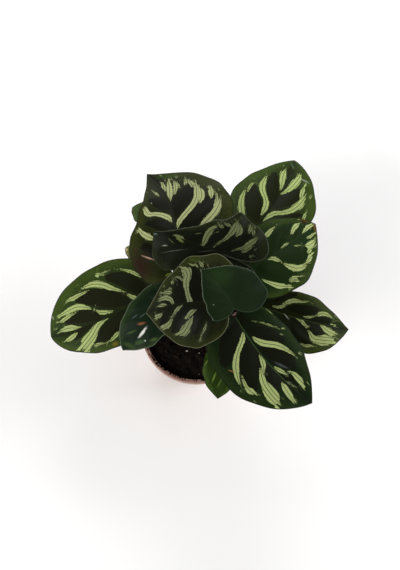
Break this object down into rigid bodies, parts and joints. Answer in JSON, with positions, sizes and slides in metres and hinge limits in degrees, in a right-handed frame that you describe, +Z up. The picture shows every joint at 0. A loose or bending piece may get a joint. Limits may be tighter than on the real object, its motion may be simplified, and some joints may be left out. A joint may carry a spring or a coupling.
{
  "type": "potted calathea",
  "caption": "Low, spreading calathea with broad oval leaves, dark blotches and pale stripes along the veins, in a thin round plastic nursery pot.",
  "frame": {"origin": "middle of the pot's flat underside, on the surface that it stands on", "axes": "+Z up along the pot's axis, +X to the right and +Y to the back as the plant is seen from its front"},
  "size_m": [0.3109, 0.2766, 0.2568],
  "materials": {
    "pot": "thin moulded terracotta-coloured plastic, satin",
    "soil": "dark moist peat compost",
    "leaf": "waxy leaf, dark green blotches and pale stripes above, maroon below",
    "stalk": "smooth pinkish brown leaf stalk"
  },
  "bodies": {
    "root": {"pot": "pot", "soil": "soil", "leaf_left": "leaf", "leaf_left_front": "leaf", "leaf_middle_domed": "leaf", "leaf_crown": "leaf", "leaf_front_right": "leaf", "leaf_front_low": "leaf", "leaf_right": "leaf", "leaf_right_upper": "leaf", "leaf_back_right": "leaf", "leaf_centre_folded": "leaf", "leaf_back_left": "leaf", "leaf_back_left_low": "leaf", "leaf_left_low": "leaf", "leaf_new": "leaf"}
  },
  "joints": []
}
